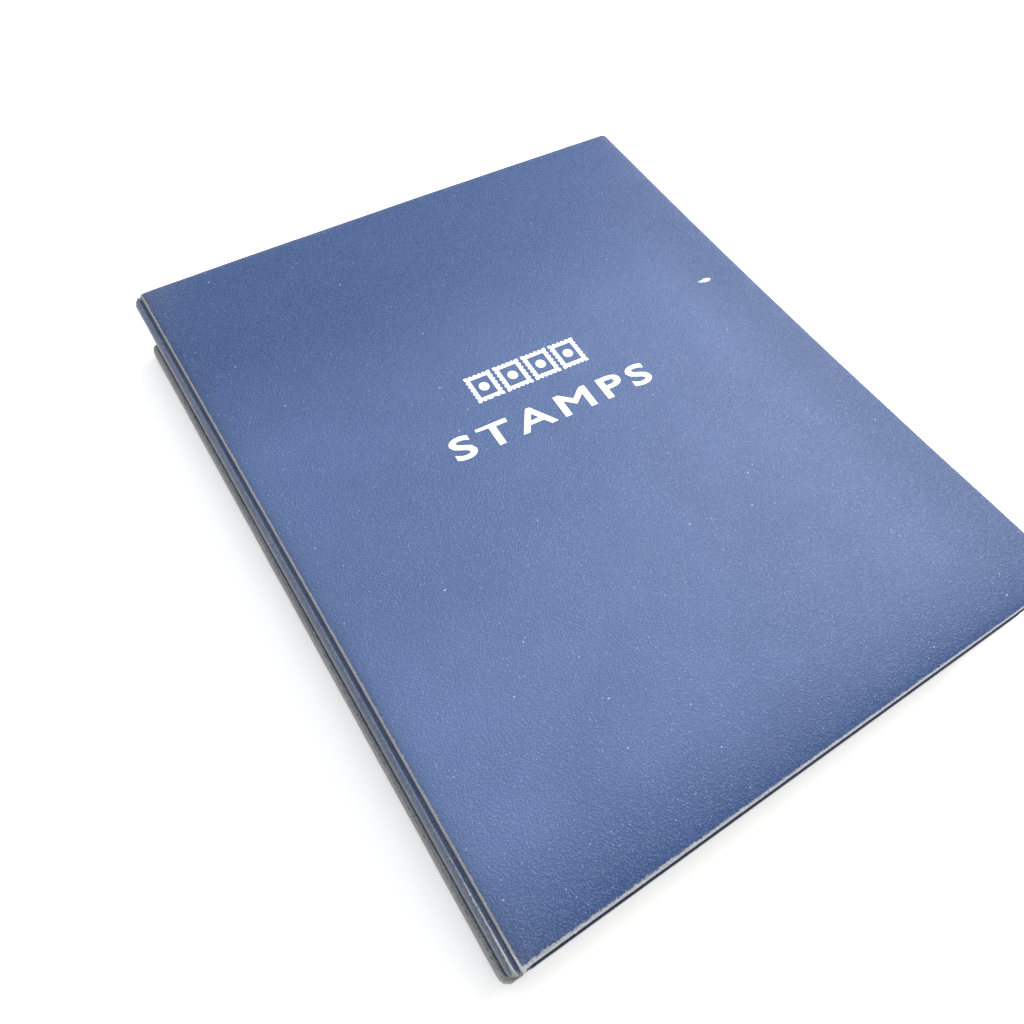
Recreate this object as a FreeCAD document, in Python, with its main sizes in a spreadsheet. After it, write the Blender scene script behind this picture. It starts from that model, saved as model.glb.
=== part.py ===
import FreeCAD, Part
import os
import re

import Sketcher

# Loose-leaf stamp album, closed and lying on its back cover.
# Millimetres. Origin on the table under the middle of the outside box, +Z up,
# +X from the spine to the fore-edge, +Y from the tail to the head.

doc = FreeCAD.newDocument("stamp_album")
sheet = doc.addObject("Spreadsheet::Sheet", "Sizes")

# Driving dimensions
sizes = {
    # covers
    "cover_width": 235.0,        # front panel, spine side to fore-edge
    "cover_height": 288.0,       # head to tail
    "album_thickness": 35.0,
    "cover_corner": 3.0,
    "cloth": 0.5,                # leathercloth on every cover piece
    "board": 2.4,
    "padding": 2.3,              # foam under the front leathercloth
    "padding_round": 2.0,
    "cloth_round": 2.4,
    "lining": 0.3,
    "turn_in": 15.0,             # leathercloth folded over the inside of a board
    "lining_margin": 3.0,        # lining's edge to the board's edge
    # spine and its two cloth joints
    "spine_board_thickness": 2.0,
    "joint_in_front": 3.3,       # spine face to the front panel's edge
    "joint_in_back": 6.5,        # spine face to the back panel's edge
    "joint_rise": 6.5,           # uncovered height above and below the spine board
    "joint_dip": 2.8,            # front cover's top to the upper joint's cloth
    "joint_slope": 1.0,          # how much further the upper joint drops at the spine
    "roll_out": 2.9,             # how far the lower joint's roll stands out of the spine face
    "roll_height": 5.6,
    "roll_round": 1.2,
    "hinge_cloth": 0.7,
    "pivot_depth": 1.0,          # joint axis inside the outer faces
    "gap": 0.3,                  # air between pieces that must not touch
    # ring mechanism
    "mechanism_inset": 19.0,     # spine face to the mechanism's middle
    "plate_past_rings": 1.5,     # ring leg's middle to the plate's edge
    "plate_half_length": 128.0,
    "plate_rise": 4.5,           # back lining to the top of the arch
    "plate_crown": 2.4,          # arch above its own shoulders
    "plate_sheet": 0.8,
    "rail_sheet": 0.8,
    "rail_lift": 0.7,            # back lining to the rails' underside
    "rail_half_length": 124.0,
    "wire_radius": 1.4,
    "ring_reach": 9.5,           # mechanism's middle to a ring leg
    "ring_top": 21.9,            # back lining to the wire's centre at the top
    "left_bend": 9.0,
    "right_bend": 3.5,
    "ring_pitch": 70.0,
    "ring_notch": 0.5,           # room in the plate round a ring leg
    "rivet_half_pitch": 70.0,
    "rivet_shank_radius": 2.2,
    "rivet_head_radius": 4.2,
    "rivet_head": 0.6,
    "rail_notch_radius": 3.2,    # room in the rails round a rivet
    # levers
    "lever_width": 10.0,
    "lever_sheet": 1.2,
    "lever_lift": 2.0,           # back lining to the lever's underside
    "lever_pivot_out": 2.0,      # plate's end to the lever's pivot
    "lever_tongue": 4.6,
    "lever_foot": 3.6,
    "lever_tab": 8.0,
    "lever_notch": 5.5,          # notch in the plate's end, over the tongue
    # leaves
    "leaf_height": 258.0,
    "leaf_margin": 9.0,          # hole centre to the leaf's spine edge
    "leaf_fore_inset": 8.0,      # leaves' edge to the cover's fore-edge
    "leaf_clear": 0.8,           # rivet head to the lowest leaf
    "leaf_fall_start": 6.0,      # where the leaves start to fall, past the arch plate
    "leaf_fall_run": 34.0,
    "hole_radius": 3.5,
    "hole_shift": 1.5,           # hole centre past the ring leg, room for the leg to swing
    "end_leaf_sheet": 0.6,
    "bundle": 2.4,
    "glassine": 0.2,
    "title_sheet": 0.4,
}

# Dimensions that follow from the driving ones
follows = {
    "overall_width": "cover_width + joint_in_front + roll_out",
    "spine_face": "-overall_width / 2 + roll_out",
    "fore_edge": "overall_width / 2",
    "front_edge": "spine_face + joint_in_front",
    "back_edge": "spine_face + joint_in_back",
    "back_board_top": "cloth + board",
    "back_turn_top": "back_board_top + cloth",
    "back_top": "back_turn_top + lining",
    "front_board_top": "album_thickness - cloth - padding",
    "front_board_low": "front_board_top - board",
    "front_turn_low": "front_board_low - cloth",
    "front_low": "front_turn_low - lining",
    "spine_low": "joint_rise",
    "spine_high": "album_thickness - joint_rise",
    "spine_inner": "spine_face + cloth + spine_board_thickness",
    "middle": "spine_face + mechanism_inset",
    "plate_top": "back_top + plate_rise",
    "plate_half_width": "ring_reach + plate_past_rings",
    "arch_radius": "(plate_half_width ^ 2 + plate_crown ^ 2) / (2 * plate_crown)",
    "rail_low": "back_top + rail_lift",
    "rail_top": "rail_low + rail_sheet",
    "rail_outer": "plate_half_width - plate_sheet - gap",
    "ring_peak": "back_top + ring_top",
    "leaf_low": "plate_top + rivet_head + leaf_clear",
    "leaf_rest": "back_top + gap",
    "hole_middle": "middle + ring_reach + hole_shift",
    "leaf_inner": "hole_middle - leaf_margin",
    "leaf_outer": "fore_edge - leaf_fore_inset",
    "fall_start": "middle + plate_half_width + leaf_fall_start",
    "fall_end": "fall_start + leaf_fall_run",
    "lever_pivot": "plate_half_length + lever_pivot_out",
    "lever_low": "back_top + lever_lift",
}

for row, (name, number) in enumerate(sizes.items(), start=1):
    sheet.set(f"A{row}", name)
    sheet.set(f"B{row}", str(number))
    sheet.setAlias(f"B{row}", name)
for row, (name, rule) in enumerate(follows.items(), start=1):
    sheet.set(f"D{row}", name)
    sheet.set(f"E{row}", "=" + rule)
    sheet.setAlias(f"E{row}", name)
doc.recompute()


def bound(rule):
    """The rule with each word turned into a reference to the sheet."""
    return re.sub(r"[a-z]\w*", r"Sizes.\g<0>", rule)


def size(name):
    return float(getattr(sheet, name))


def worked_out(rule):
    return float(sheet.evalExpression(bound(rule)))


nodes = []          # every piece that is written out, in order


def as_node(piece, name):
    piece.Label = name
    nodes.append(piece)


# Helpers for sketched bodies

def origin_plane(body, role):
    return [plane for plane in body.Origin.OriginFeatures if plane.Role == role][0]


def outline(body, role, points, level=None):
    """A closed outline of straight sides; each corner is a pair of rules."""
    sketch = body.newObject("Sketcher::SketchObject", body.Name + "_outline")
    sketch.AttachmentSupport = [(origin_plane(body, role), "")]
    sketch.MapMode = "FlatFace"
    if level:
        sketch.setExpression("AttachmentOffset.Base.z", bound(level))
    corners = [FreeCAD.Vector(worked_out(u), worked_out(v), 0) for u, v in points]
    for start, end in zip(corners, corners[1:] + corners[:1]):
        sketch.addGeometry(Part.LineSegment(start, end), False)
    for side in range(len(corners)):
        following = (side + 1) % len(corners)
        sketch.addConstraint(Sketcher.Constraint("Coincident", side, 2, following, 1))
    for side, corner in enumerate(points):
        for kind, rule in zip(("DistanceX", "DistanceY"), corner):
            place = Sketcher.Constraint(kind, -1, 1, side, 1, worked_out(rule))
            index = sketch.addConstraint(place)
            sketch.setExpression(f"Constraints[{index}]", bound(rule))
    return sketch


def pad(body, sketch, length, both_ways=False):
    feature = body.newObject("PartDesign::Pad", body.Name + "_pad")
    feature.Profile = sketch
    feature.setExpression("Length", bound(length))
    feature.Midplane = both_ways
    return feature


def edges_along(shape, axis, chosen=lambda edge: True):
    """Names of the straight edges that run along one axis."""
    names = []
    for number, edge in enumerate(shape.Edges, start=1):
        along = (edge.Vertexes[-1].Point - edge.Vertexes[0].Point).normalize()
        if abs(abs(along[axis]) - 1) < 1e-6 and chosen(edge):
            names.append(f"Edge{number}")
    return names


def fillet(body, base, names, radius):
    feature = body.newObject("PartDesign::Fillet", body.Name + "_round")
    feature.Base = (base, names)
    feature.setExpression("Radius", bound(radius))
    return feature


def slab(name, left, right, height, low, high, corner=None, top_round=None):
    """A flat piece between two X places and two levels, centred on Y = 0."""
    body = doc.addObject("PartDesign::Body", name)
    half = f"({height}) / 2"
    corners = [(left, f"-{half}"), (right, f"-{half}"), (right, half), (left, half)]
    sketch = outline(body, "XY_Plane", corners, level=low)
    feature = pad(body, sketch, f"({high}) - ({low})")
    doc.recompute()
    if corner:
        feature = fillet(body, feature, edges_along(feature.Shape, 2), corner)
        doc.recompute()
    if top_round:
        top = feature.Shape.BoundBox.ZMax
        rim = [f"Edge{number}" for number, edge in enumerate(feature.Shape.Edges, start=1)
               if edge.BoundBox.ZMin > top - 1e-6]
        feature = fillet(body, feature, rim, top_round)
        doc.recompute()
    return body


def section(name, points, height):
    """A piece with one outline in the XZ plane all the way from tail to head."""
    body = doc.addObject("PartDesign::Body", name)
    sketch = outline(body, "XZ_Plane", points)
    pad(body, sketch, height, both_ways=True)
    doc.recompute()
    return body


def cut(name, base, *tools):
    """The base less its tools, which keep their own shape."""
    tool = tools[0]
    if len(tools) > 1:
        tool = doc.addObject("Part::MultiFuse", name + "_tools")
        tool.Shapes = list(tools)
    feature = doc.addObject("Part::Cut", name)
    feature.Base = base
    feature.Tool = tool
    doc.recompute()
    return feature


# Helpers for plain solids

def cylinder(name, x, y, z, radius, height):
    feature = doc.addObject("Part::Cylinder", name)
    feature.setExpression("Radius", bound(radius))
    feature.setExpression("Height", bound(height))
    for axis, rule in zip("xyz", (x, y, z)):
        feature.setExpression(f"Placement.Base.{axis}", bound(rule))
    return feature


def box(name, x, y, z, length, width, height):
    feature = doc.addObject("Part::Box", name)
    for side, rule in zip(("Length", "Width", "Height"), (length, width, height)):
        feature.setExpression(side, bound(rule))
    for axis, rule in zip("xyz", (x, y, z)):
        feature.setExpression(f"Placement.Base.{axis}", bound(rule))
    return feature


# Covers: a board, a leathercloth wrapped round it and a lining pasted inside

def lining_piece(name, left, right, low, high, filler_low, filler_high):
    """Lining paper over the turned-in cloth, filling the step down to the board."""
    paper = slab(name + "_sheet", f"{left} + lining_margin", f"{right} - lining_margin",
                 "cover_height - 2 * lining_margin", low, high)
    filler = slab(name + "_filler", f"{left} + turn_in", f"{right} - turn_in",
                  "cover_height - 2 * turn_in", filler_low, filler_high)
    joined = doc.addObject("Part::MultiFuse", name)
    joined.Shapes = [paper, filler]
    doc.recompute()
    return joined


rivet_rows = ["rivet_half_pitch", "-rivet_half_pitch"]


def back_cover():
    board = slab("back_board_blank", "back_edge + cloth", "fore_edge - cloth",
                 "cover_height - 2 * cloth", "cloth", "back_board_top", corner="cover_corner")
    blank = slab("back_cloth_blank", "back_edge", "fore_edge", "cover_height",
                 "0 * cloth", "back_turn_top", corner="cover_corner")
    window = slab("back_cloth_window", "back_edge + turn_in", "fore_edge - turn_in",
                  "cover_height - 2 * turn_in", "back_board_top", "back_turn_top + gap")
    paper = lining_piece("back_lining_blank", "back_edge", "fore_edge", "back_turn_top",
                         "back_top", "back_board_top", "back_turn_top")
    shanks = [cylinder(f"shank_hole_{turn}", "middle", place, "cloth",
                       "rivet_shank_radius", "back_top")
              for turn, place in enumerate(rivet_rows, start=1)]
    flanges = [cylinder(f"flange_hole_{turn}", "middle", place, "cloth",
                        "rivet_head_radius", "rivet_head")
               for turn, place in enumerate(rivet_rows, start=1)]
    as_node(cut("back_cover_cloth", blank, board, window, *shanks), "back_cover_cloth")
    as_node(cut("back_board", board, *shanks, *flanges), "back_board")
    as_node(cut("back_lining", paper, *shanks), "back_lining")


def front_cover():
    board = slab("front_board", "front_edge + cloth", "fore_edge - cloth",
                 "cover_height - 2 * cloth", "front_board_low", "front_board_top",
                 corner="cover_corner")
    padding = slab("front_padding", "front_edge + cloth", "fore_edge - cloth",
                   "cover_height - 2 * cloth", "front_board_top", "album_thickness - cloth",
                   corner="cover_corner", top_round="padding_round")
    blank = slab("front_cloth_blank", "front_edge", "fore_edge", "cover_height",
                 "front_turn_low", "album_thickness", corner="cover_corner",
                 top_round="cloth_round")
    window = slab("front_cloth_window", "front_edge + turn_in", "fore_edge - turn_in",
                  "cover_height - 2 * turn_in", "front_turn_low - gap", "front_board_low")
    as_node(board, "front_board")
    as_node(padding, "front_padding")
    as_node(cut("front_cover_cloth", blank, board, padding, window), "front_cover_cloth")
    as_node(lining_piece("front_lining", "front_edge", "fore_edge", "front_low",
                         "front_turn_low", "front_turn_low", "front_board_low"), "front_lining")


# Spine: board, cloth and lining, with a cloth joint above and below

def spine():
    board = slab("spine_board", "spine_face + cloth", "spine_inner",
                 "cover_height - 2 * cloth", "spine_low", "spine_high")
    blank = slab("spine_cloth_blank", "spine_face", "spine_inner", "cover_height",
                 "spine_low", "spine_high")
    as_node(board, "spine_board")
    as_node(cut("spine_cloth", blank, board), "spine_cloth")
    as_node(slab("spine_lining", "spine_inner", "spine_inner + lining",
                 "cover_height - 2 * lining_margin", "spine_low", "spine_high"), "spine_lining")


def upper_joint():
    top = "album_thickness - joint_dip"
    drop = f"{top} - joint_slope"
    bend = f"{drop} - joint_slope"
    points = [
        ("front_edge", top),
        ("spine_face + hinge_cloth", drop),
        ("spine_face", bend),
        ("spine_face", "spine_high"),
        ("spine_face + hinge_cloth", "spine_high"),
        ("spine_face + hinge_cloth", bend),
        ("spine_face + 1.5 * hinge_cloth", f"{drop} - hinge_cloth"),
        ("front_edge", f"{top} - hinge_cloth"),
    ]
    as_node(section("upper_hinge_cloth", points, "cover_height"), "upper_hinge_cloth")


def lower_joint():
    out = "spine_face - roll_out"
    points = [
        ("back_edge", "gap"),
        (f"{out} + roll_round", "gap"),
        (out, "roll_round"),
        (out, "roll_height - roll_round"),
        (f"{out} + roll_round", "roll_height"),
        ("spine_face", "spine_low"),
        ("spine_face + hinge_cloth", "spine_low"),
        (f"{out} + roll_round + hinge_cloth", "roll_height - hinge_cloth"),
        (f"{out} + hinge_cloth", "roll_height - roll_round - hinge_cloth"),
        (f"{out} + hinge_cloth", "roll_round + hinge_cloth"),
        (f"{out} + roll_round + hinge_cloth", "gap + hinge_cloth"),
        ("back_edge", "gap + hinge_cloth"),
    ]
    as_node(section("lower_hinge_cloth", points, "cover_height"), "lower_hinge_cloth")


# Ring mechanism, riveted to the back board

ring_rows = [f"{turn - 1.5} * ring_pitch" for turn in range(4)]


def arch(name, radius, half_width, below):
    """A bar along Y with a round top, wide enough for the plate's own curve."""
    rod = cylinder(name + "_rod", "middle", "-plate_half_length",
                   f"plate_top - arch_radius", radius, "2 * plate_half_length")
    rod.Placement.Rotation = FreeCAD.Rotation(FreeCAD.Vector(1, 0, 0), -90)
    block = box(name + "_block", f"middle - {half_width}", "-plate_half_length", below,
                f"2 * ({half_width})", "2 * plate_half_length", f"plate_top + gap - ({below})")
    common = doc.addObject("Part::MultiCommon", name)
    common.Shapes = [rod, block]
    doc.recompute()
    return common


def arch_plate():
    """The plate, notched for the ring legs and the levers and holed for the rivets."""
    outside = arch("plate_outside", "arch_radius", "plate_half_width", "back_top")
    inside = arch("plate_inside", "arch_radius - plate_sheet", "(plate_half_width - plate_sheet)",
                  "back_top - gap")
    room = "(wire_radius + ring_notch)"
    tools = [inside]
    for turn, place in enumerate(ring_rows, start=1):
        for side, left in (("left", "middle - plate_half_width - gap"),
                           ("right", f"middle + ring_reach - {room}")):
            tools.append(box(f"{side}_notch_{turn}", left, f"{place} - {room}",
                             "rail_low - gap", f"plate_past_rings + gap + {room}",
                             f"2 * {room}", "plate_top"))
    notch_width = "lever_width + 2 * ring_notch"
    for end, place in (("head", "plate_half_length - lever_notch"),
                       ("tail", "-plate_half_length - gap")):
        tools.append(box(f"{end}_notch", f"middle - ({notch_width}) / 2", place,
                         "back_top + gap", notch_width, "lever_notch + gap", "plate_top"))
    for turn, place in enumerate(rivet_rows, start=1):
        tools.append(cylinder(f"plate_hole_{turn}", "middle", place, "back_top",
                              "rivet_shank_radius", "plate_top"))
    as_node(cut("ring_arch_plate", outside, *tools), "ring_arch_plate")


def rail(name, left):
    """A flat rail, cut away round the rivets."""
    strip = box(name + "_strip", left, "-rail_half_length", "rail_low", "rail_outer - gap",
                "2 * rail_half_length", "rail_sheet")
    rooms = [cylinder(f"{name}_room_{turn}", "middle", place, "back_top", "rail_notch_radius",
                      "plate_top")
             for turn, place in enumerate(rivet_rows, start=1)]
    as_node(cut(name, strip, *rooms), name)


def half_rings(name, side, bend):
    """Four bent wires on one rail: straight leg, round shoulder, level run to the middle."""
    leg = size("middle") + side * size("ring_reach")
    inward = leg - side * bend
    tip = size("middle") + side * size("gap") / 2
    foot = size("rail_top")
    peak = size("ring_peak")
    turn = bend * (1 - 0.5 ** 0.5)
    wires = []
    for rule in ring_rows:
        place = worked_out(rule)

        def at(x, z):
            return FreeCAD.Vector(x, place, z)

        shoulder = Part.Arc(at(leg, peak - bend), at(leg - side * turn, peak - turn),
                            at(inward, peak))
        path = Part.Wire([Part.LineSegment(at(leg, foot), at(leg, peak - bend)).toShape(),
                          shoulder.toShape(),
                          Part.LineSegment(at(inward, peak), at(tip, peak)).toShape()])
        circle = Part.makeCircle(size("wire_radius"), at(leg, foot), FreeCAD.Vector(0, 0, 1))
        wires.append(path.makePipeShell([Part.Wire(circle)], True, False))
    group = doc.addObject("Part::Feature", name)
    group.Shape = Part.makeCompound(wires)
    as_node(group, name)


def lever(name, end):
    body = doc.addObject("PartDesign::Body", name)
    sign = "" if end > 0 else "-1 * "

    def out(rule):
        return f"{sign}(lever_pivot + {rule})"
    points = [
        (out("0 - lever_tongue"), "lever_low"),
        (out("lever_foot"), "lever_low"),
        (out("lever_foot"), "lever_low + lever_tab"),
        (out("lever_foot - lever_sheet"), "lever_low + lever_tab"),
        (out("lever_foot - lever_sheet"), "lever_low + lever_sheet"),
        (out("0 - lever_tongue"), "lever_low + lever_sheet"),
    ]
    sketch = outline(body, "YZ_Plane", points, level="middle")
    feature = pad(body, sketch, "lever_width", both_ways=True)
    doc.recompute()
    top = feature.Shape.BoundBox.ZMax
    rim = edges_along(feature.Shape, 1, lambda edge: edge.BoundBox.ZMin > top - 0.01)
    fillet(body, feature, rim, "lever_sheet")
    doc.recompute()
    as_node(body, name)


def rivets():
    pieces = []
    length = size("plate_top") - size("cloth") + size("rivet_head")
    for rule in rivet_rows:
        place = worked_out(rule)
        foot = FreeCAD.Vector(size("middle"), place, size("cloth"))
        head = FreeCAD.Vector(size("middle"), place, size("plate_top"))
        pieces.append(Part.makeCylinder(size("rivet_shank_radius"), length, foot).multiFuse([
            Part.makeCylinder(size("rivet_head_radius"), size("rivet_head"), foot),
            Part.makeCylinder(size("rivet_head_radius"), size("rivet_head"), head)]))
    group = doc.addObject("Part::Feature", "rivets")
    group.Shape = Part.makeCompound(pieces)
    as_node(group, "rivets")


# Leaves: level over the mechanism, then falling to the back cover

def leaf(name, below, thickness):
    high = f"leaf_low + {below}"
    low = f"leaf_rest + {below}"
    points = [
        ("leaf_inner", high),
        ("fall_start", high),
        ("fall_end", low),
        ("leaf_outer", low),
        ("leaf_outer", f"{low} + {thickness}"),
        ("fall_end", f"{low} + {thickness}"),
        ("fall_start", f"{high} + {thickness}"),
        ("leaf_inner", f"{high} + {thickness}"),
    ]
    blank = section(name + "_blank", points, "leaf_height")
    holes = [cylinder(f"{name}_hole_{turn}", "hole_middle", place, "back_top",
                      "hole_radius", "album_thickness")
             for turn, place in enumerate(ring_rows, start=1)]
    as_node(cut(name, blank, *holes), name)


def leaves():
    bundles = 5
    stack = [("end_leaf", "end_leaf_sheet")]
    for turn in range(1, bundles + 1):
        stack.append((f"leaf_bundle_{turn}", "bundle"))
        if turn < bundles:
            stack.append((f"glassine_sheet_{turn}", "glassine"))
    stack.append(("title_leaf", "title_sheet"))
    below = "0 * gap"
    for name, thickness in stack:
        leaf(name, below, thickness)
        below += f" + {thickness}"


back_cover()
front_cover()
spine()
upper_joint()
lower_joint()
arch_plate()
rail("left_rail", "middle - rail_outer")
rail("right_rail", "middle + gap")
half_rings("left_half_rings", -1, size("left_bend"))
half_rings("right_half_rings", 1, size("right_bend"))
lever("head_lever", 1)
lever("tail_lever", -1)
rivets()
leaves()
doc.recompute()

for thing in doc.Objects:
    if "Invalid" in thing.State or "Error" in thing.State:
        raise RuntimeError(f"{thing.Label} did not build: {thing.State}")
for piece in nodes:
    if piece.Shape.isNull() or not piece.Shape.isValid() or not piece.Shape.Solids:
        raise RuntimeError(f"{piece.Label} has no sound shape")

# Where the moving pieces turn, in X and Z (Y and Z for the levers)
pivots = {
    "spine": ("spine_face + pivot_depth", "pivot_depth"),
    "front cover": ("spine_face + pivot_depth", "album_thickness - pivot_depth"),
    "left rings": ("middle - rail_outer", "rail_low + rail_sheet / 2"),
    "right rings": ("middle + rail_outer", "rail_low + rail_sheet / 2"),
    "levers": ("lever_pivot", "lever_low + lever_sheet / 2"),
}
for name, place in pivots.items():
    print(name, "turns at", [round(worked_out(rule), 3) for rule in place])

os.makedirs("parts", exist_ok=True)
for piece in nodes:
    piece.Shape.exportStep(f"parts/{piece.Label}.step")
    print(piece.Label, len(piece.Shape.Solids), round(piece.Shape.Volume, 1))
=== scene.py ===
import math
import random

import bmesh
import bpy
from mathutils import Matrix, Vector, noise


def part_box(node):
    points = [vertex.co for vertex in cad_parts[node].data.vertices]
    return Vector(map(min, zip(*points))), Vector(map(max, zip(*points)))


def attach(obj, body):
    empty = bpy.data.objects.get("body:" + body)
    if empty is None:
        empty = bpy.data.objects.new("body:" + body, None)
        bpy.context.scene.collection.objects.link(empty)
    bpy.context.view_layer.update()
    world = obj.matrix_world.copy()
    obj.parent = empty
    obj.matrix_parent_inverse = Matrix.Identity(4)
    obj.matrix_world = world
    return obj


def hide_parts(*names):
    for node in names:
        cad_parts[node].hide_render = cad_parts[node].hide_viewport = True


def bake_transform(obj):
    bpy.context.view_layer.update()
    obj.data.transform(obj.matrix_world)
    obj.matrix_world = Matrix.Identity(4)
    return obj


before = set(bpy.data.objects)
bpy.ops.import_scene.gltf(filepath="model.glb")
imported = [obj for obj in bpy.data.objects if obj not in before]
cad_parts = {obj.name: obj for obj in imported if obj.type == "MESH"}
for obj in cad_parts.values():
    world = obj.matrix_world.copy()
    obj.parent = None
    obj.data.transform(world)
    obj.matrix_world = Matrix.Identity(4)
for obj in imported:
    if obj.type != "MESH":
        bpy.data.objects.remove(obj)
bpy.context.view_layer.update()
scene = bpy.context.scene
mm = 0.001


def boxOf(nodeName):
    # lowest and highest corner of a CAD node, in millimetres
    low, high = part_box(nodeName)
    return low / mm, high / mm


frontLow, frontHigh = boxOf("front_cover_cloth")
frontBoardLow, frontBoardHigh = boxOf("front_board")
backLow, backHigh = boxOf("back_cover_cloth")
spineLow, spineHigh = boxOf("spine_cloth")
headY = frontHigh.y


# number helpers

def clamp(value):
    return min(max(value, 0), 1)


def rising(value, start, run):
    return clamp((value - start) / run)


def falling(value, start, run):
    return clamp((start - value) / run)


def hump(distance, reach):
    # 1 at no distance, gone a little beyond the reach
    return math.exp(-(distance / reach) ** 2)


# node helpers; tree is the node tree of the material in hand

tree = None


def connect(node, inputs):
    # links sockets and sets plain values
    for key, value in inputs.items():
        if isinstance(value, bpy.types.NodeSocket):
            tree.links.new(value, node.inputs[key])
        else:
            node.inputs[key].default_value = value


def addNode(kind, inputs=None, **settings):
    made = tree.nodes.new("ShaderNode" + kind)
    for key, value in settings.items():
        setattr(made, key, value)
    connect(made, inputs or {})
    return made


def newMaterial(name, restPlace=False):
    # and the place it works from, in millimetres: the piece's own, or the cloth's at rest
    global tree
    material = bpy.data.materials.new(name)
    material.use_nodes = True
    tree = material.node_tree
    if restPlace:
        place = attributeOf("restPlace", "Vector")
    else:
        place = addNode("TexCoord").outputs["Object"]
    return material, vectorMaths("MULTIPLY", place, (1000, 1000, 1000))


def shade(inputs):
    connect(tree.nodes["Principled BSDF"], inputs)


def maths(operation, first, second=0.0):
    return addNode("Math", {0: first, 1: second}, operation=operation).outputs[0]


def times(first, second):
    return maths("MULTIPLY", first, second)


def swing(value):
    # from 0 to 1 into -0.5 to 0.5
    return maths("SUBTRACT", value, 0.5)


def weightedSum(values, weights):
    total = None
    for value, weight in zip(values, weights):
        part = value if weight == 1 else times(value, weight)
        total = part if total is None else maths("ADD", total, part)
    return total


def vectorMaths(operation, *vectors):
    return addNode("VectorMath", dict(enumerate(vectors)), operation=operation).outputs[0]


def mixColour(amount, *colours):
    first, second = [(*c, 1.0) if isinstance(c, tuple) else c for c in colours]
    return addNode("Mix", {0: amount, 6: first, 7: second}, data_type="RGBA").outputs[2]


def fade(value, start, end, low=0.0, high=1.0):
    made = addNode("MapRange", {0: value, 1: start, 2: end, 3: low, 4: high}, interpolation_type="SMOOTHSTEP")
    return made.outputs[0]


def noiseOf(place, scale, detail=2.0, rough=0.5):
    made = addNode("TexNoise", {"Vector": place, "Scale": scale, "Detail": detail, "Roughness": rough})
    return made.outputs["Fac"]


def cellsOf(place, scale, output="Distance", feature="F1"):
    made = addNode("TexVoronoi", {"Vector": place, "Scale": scale}, feature=feature)
    return made.outputs[output]


def attributeOf(name, output="Fac"):
    return addNode("Attribute", attribute_name=name).outputs[output]


def bumpFrom(height, depth):
    return addNode("Bump", {"Height": height, "Distance": depth * mm}).outputs["Normal"]


# leathercloth: pebble grain, rubbed tops, pale specks, threads showing where it is worn; painted sheen and
# shade

leatherclothSettings = {
    "deep": (0.020, 0.048, 0.135),  # in the grain's creases
    "tops": (0.047, 0.088, 0.215),  # on the grain's tops
    "handled": (0.090, 0.145, 0.305),  # painted sheen, a paler blue where the padded top catches the light
    "rubbed": (0.125, 0.138, 0.165),  # where rubbing has greyed it
    "thread": (0.42, 0.42, 0.41),  # bare cloth at worn edges
    "soil": (0.245, 0.252, 0.268),  # bare cloth that has got dirty
    "paintedShade": (0.014, 0.018, 0.032),  # painted shade beside the fray, down the sides and in the spine strip's groove, flank and crease
    "grain": 0.54,  # mm across one pebble
    "grainDepth": 0.15,
    "grainBend": (0.9, 1.0),  # scale and detail of the noise that bends the pebbles
    "grainBendReach": (0.9, 0.9, 0.9),
    "pebbleRange": (0.62, 0.16),  # distances at a pebble's foot and top
    "fine": (4.4, 3.0, 0.6),  # scale, detail and roughness
    "mottle": (1 / 24.0, 3.0, 0.55),
    "patches": (0.22, 3.0, 0.6),
    "threads": (1.3, 4.0, 0.7),
    "liftShares": (0.52, 0.42, 0.18),  # pebbles, fine grain, mottle
    "liftRange": (0.12, 0.95),
    "handledRange": (0.25, 0.7, 0.8, 1.0),
    "patchSwing": 0.30,
    "rubRange": (0.12, 1.0),
    "rubOnTops": (0.0, 0.75, 0.55, 1.0),
    "fray": 1.5,  # how far threads scatter the worn edge
    "wornRange": (0.44, 0.70),
    "soilRange": (0.35, 0.7),
    "paintedShadeRange": (-0.1, -0.7),
    "roughness": (0.1, 1.0, 0.50, 0.34),
    "wornRoughness": 0.35,
    "heightShares": (0.75, 0.4, 1.2),  # pebbles, fine grain, bare threads
    # specular level, from 0.34 down to 0.03 where shade is painted
    "specular": (0.0, 1.0, 0.34, 0.03),
    "specks": (4.2, 0.74, 0.08, 0.45, (0.62, 0.64, 0.66)),  # spacing, rarity, size, strength, colour
    "glints": (1.4, 0.25, 0.16, 0.32, (0.42, 0.48, 0.58)),
    "scuff": {"place": (98.9, 37.9, 35.0), "size": (4.4, 1.5, 30), "turn": 5, "noise": (0.8, 3.0),
              "ragged": 1.3, "range": (1.5, 1.25), "strength": 0.8, "colour": (0.66, 0.68, 0.72)},
}


def dotted(under, place, spacing, rarity, most, strength, colour):
    # scattered round dots of varied size
    scale = 1 / spacing
    chance = addNode("SeparateColor", {0: cellsOf(place, scale, "Color")}).outputs[0]
    size = fade(chance, rarity, 1.0, 0.0, most)
    mask = maths("LESS_THAN", cellsOf(place, scale), size)
    return mixColour(times(mask, strength), under, colour)


def scuffed(colour, place, scuff):
    # one ragged pale mark
    shift = vectorMaths("SUBTRACT", place, scuff["place"])
    turned = addNode("VectorRotate", {"Vector": shift, "Angle": math.radians(scuff["turn"])},
                     rotation_type="Z_AXIS").outputs[0]
    shape = vectorMaths("DIVIDE", turned, scuff["size"])
    reach = addNode("VectorMath", {0: shape}, operation="LENGTH").outputs["Value"]
    edge = weightedSum((reach, noiseOf(place, *scuff["noise"])), (1, scuff["ragged"]))
    mask = times(fade(edge, *scuff["range"]), scuff["strength"])
    return mixColour(mask, colour, scuff["colour"])


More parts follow.
